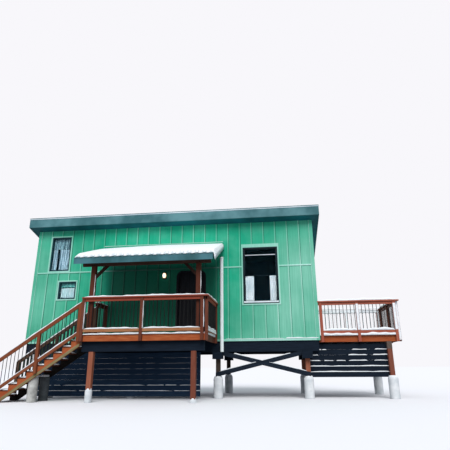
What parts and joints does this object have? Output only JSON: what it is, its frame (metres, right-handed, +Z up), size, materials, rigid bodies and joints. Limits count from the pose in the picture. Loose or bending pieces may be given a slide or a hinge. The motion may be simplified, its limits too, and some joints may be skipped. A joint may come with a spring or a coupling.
{
  "type": "tiny house on posts",
  "caption": "Single-slope tiny house with green panel walls, raised on posts and piers, with a roofed front porch, side stairs, a side deck and a hinged front door.",
  "frame": {"origin": "middle of the whole outline, on the ground", "axes": "X along the front wall to the right, Y from the porch into the house, Z up"},
  "size_m": [12.6802, 5.62, 6.145],
  "materials": {
    "painted_siding": "satin green painted panel",
    "roof_metal": "satin painted ribbed metal",
    "fascia_trim": "satin dark teal paint",
    "dark_soffit": "dark matt paint",
    "window_frame": "black satin",
    "clear_glass": "clear",
    "curtain_cloth": "white cotton",
    "dark_door": "near-black paint",
    "steel_fittings": "brushed",
    "white_pipe": "white plastic pipe",
    "concrete": "stands for cast concrete, rough",
    "dark_timber": "dark stained timber",
    "stained_timber": "red-brown stained timber",
    "lamp_glass": "frosted, warm",
    "siding_trim": "satin pale green painted trim",
    "baluster_metal": "black powder coat",
    "snow_cover": "stands for settled snow",
    "interior_lining": "plain boarding"
  },
  "bodies": {
    "house": {"bolster_blocks": "dark_timber", "cafe_curtains": "curtain_cloth", "concrete_piers": "concrete", "curtain_rod": "window_frame", "deck_beams": "dark_timber", "deck_boards": "stained_timber", "deck_frames": "stained_timber", "deck_posts": "stained_timber", "door_frame": "dark_door", "door_hinges": "steel_fittings", "eaves_fascias": "fascia_trim", "end_door": "dark_door", "falling_brace": "dark_timber", "floor_cross_beams": "dark_timber", "floor_girders": "dark_timber", "floor_platform": "painted_siding", "front_wall_left": "painted_siding", "front_wall_over_door": "painted_siding", "front_wall_right": "painted_siding", "front_window_frames": "window_frame", "front_window_glass": "clear_glass", "house_posts": "stained_timber", "knee_braces": "stained_timber", "left_end_wall": "painted_siding", "main_roof": "dark_soffit", "main_roof_metal": "roof_metal", "porch_beam": "stained_timber", "porch_fascia": "fascia_trim", "porch_lamp": "window_frame", "porch_lamp_glass": "lamp_glass", "porch_posts": "stained_timber", "porch_railing_front": "stained_timber", "porch_railing_left": "stained_timber", "porch_railing_right": "stained_timber", "porch_roof": "dark_soffit", "porch_roof_metal": "roof_metal", "porch_skirting": "dark_timber", "rake_boards": "fascia_trim", "rear_wall": "painted_siding", "rear_window_frames": "window_frame", "rear_window_glass": "clear_glass", "right_end_wall": "painted_siding", "rising_brace": "dark_timber", "side_railing_end": "stained_timber", "side_railing_front": "stained_timber", "side_railing_rear": "stained_timber", "side_slats": "dark_timber", "stair_railing_far": "stained_timber", "stair_railing_near": "stained_timber", "stair_stringers": "stained_timber", "stair_treads": "stained_timber", "vent_pipe": "white_pipe"},
    "door": {"door_leaf": "dark_door", "door_hinge_leaves": "steel_fittings", "door_handle": "steel_fittings"}
  },
  "joints": [
    {"name": "front_door_hinge", "type": "hinge", "parent": "house", "child": "door", "pos_m": [-0.81705, -0.394, 0], "axis": [0, 0, 1], "range_deg": [0, 100]}
  ]
}
